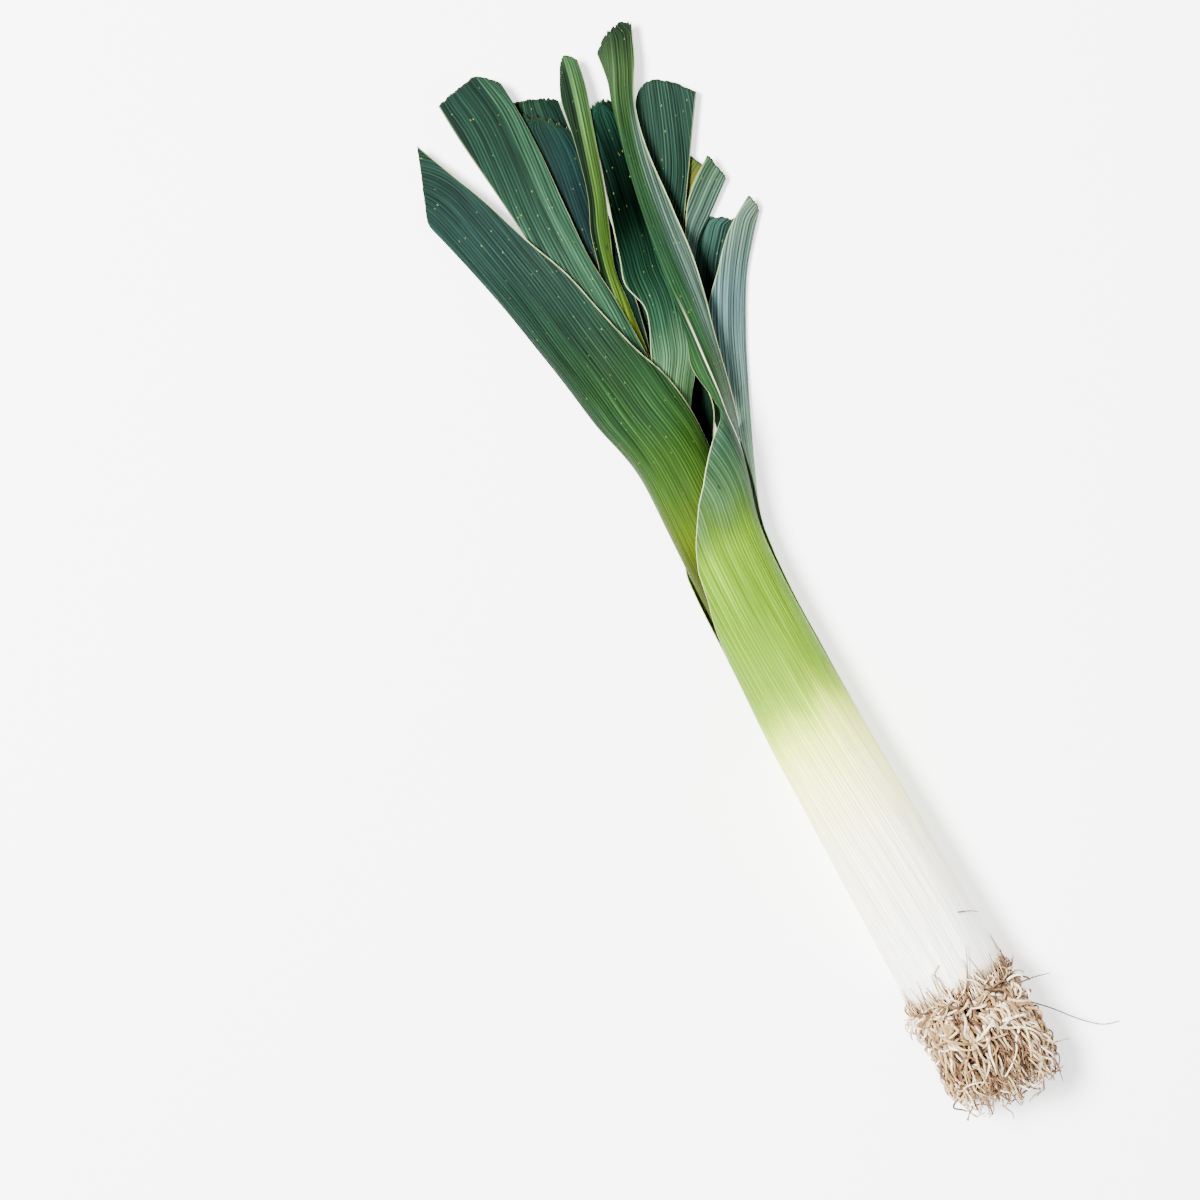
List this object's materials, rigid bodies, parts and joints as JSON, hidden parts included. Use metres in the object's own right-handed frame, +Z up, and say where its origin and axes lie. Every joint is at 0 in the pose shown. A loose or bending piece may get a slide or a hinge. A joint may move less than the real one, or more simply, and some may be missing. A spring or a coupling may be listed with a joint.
{
  "type": "leek",
  "caption": "Whole fresh leek lying on its side: white shaft of nested tubular sheaths, fanned folded leaves with cut ends, root plate and a tuft of roots.",
  "frame": {"origin": "the point on the table under the middle of the white shaft, on the flat strip that the shaft rests on", "axes": "+Y along the shaft from the roots towards the leaf tips, +Z up from the table, +X to the right seen from above"},
  "size_m": [0.1272, 0.4868, 0.0467],
  "materials": {
    "leaf_wrapping": "smooth, waxy, finely ribbed, white shaft passing into green",
    "leaf_left": "smooth, waxy, finely ribbed, dark green",
    "leaf_right_low": "matt, bluish waxy bloom",
    "leaf_right_curled": "matt, bluish waxy bloom",
    "leaf_centre_right": "ribbed, dark bluish green",
    "leaf_right_broad": "ribbed, dark bluish green",
    "leaf_centre_tall": "ribbed, dark green",
    "leaf_centre_young": "ribbed, yellowish green",
    "leaf_centre_blue": "ribbed, bluish green",
    "leaf_centre_back": "ribbed, bluish green",
    "leaf_heart": "smooth, pale yellow",
    "root_plate": "rough, light brown",
    "roots": "matt, cream to light brown"
  },
  "bodies": {
    "root": {"leaf_wrapping": "leaf_wrapping", "leaf_left": "leaf_left", "leaf_right_low": "leaf_right_low", "leaf_right_curled": "leaf_right_curled", "leaf_centre_right": "leaf_centre_right", "leaf_right_broad": "leaf_right_broad", "leaf_centre_tall": "leaf_centre_tall", "leaf_centre_young": "leaf_centre_young", "leaf_centre_blue": "leaf_centre_blue", "leaf_centre_back": "leaf_centre_back", "leaf_heart": "leaf_heart", "root_plate": "root_plate", "roots": "roots"}
  },
  "joints": []
}
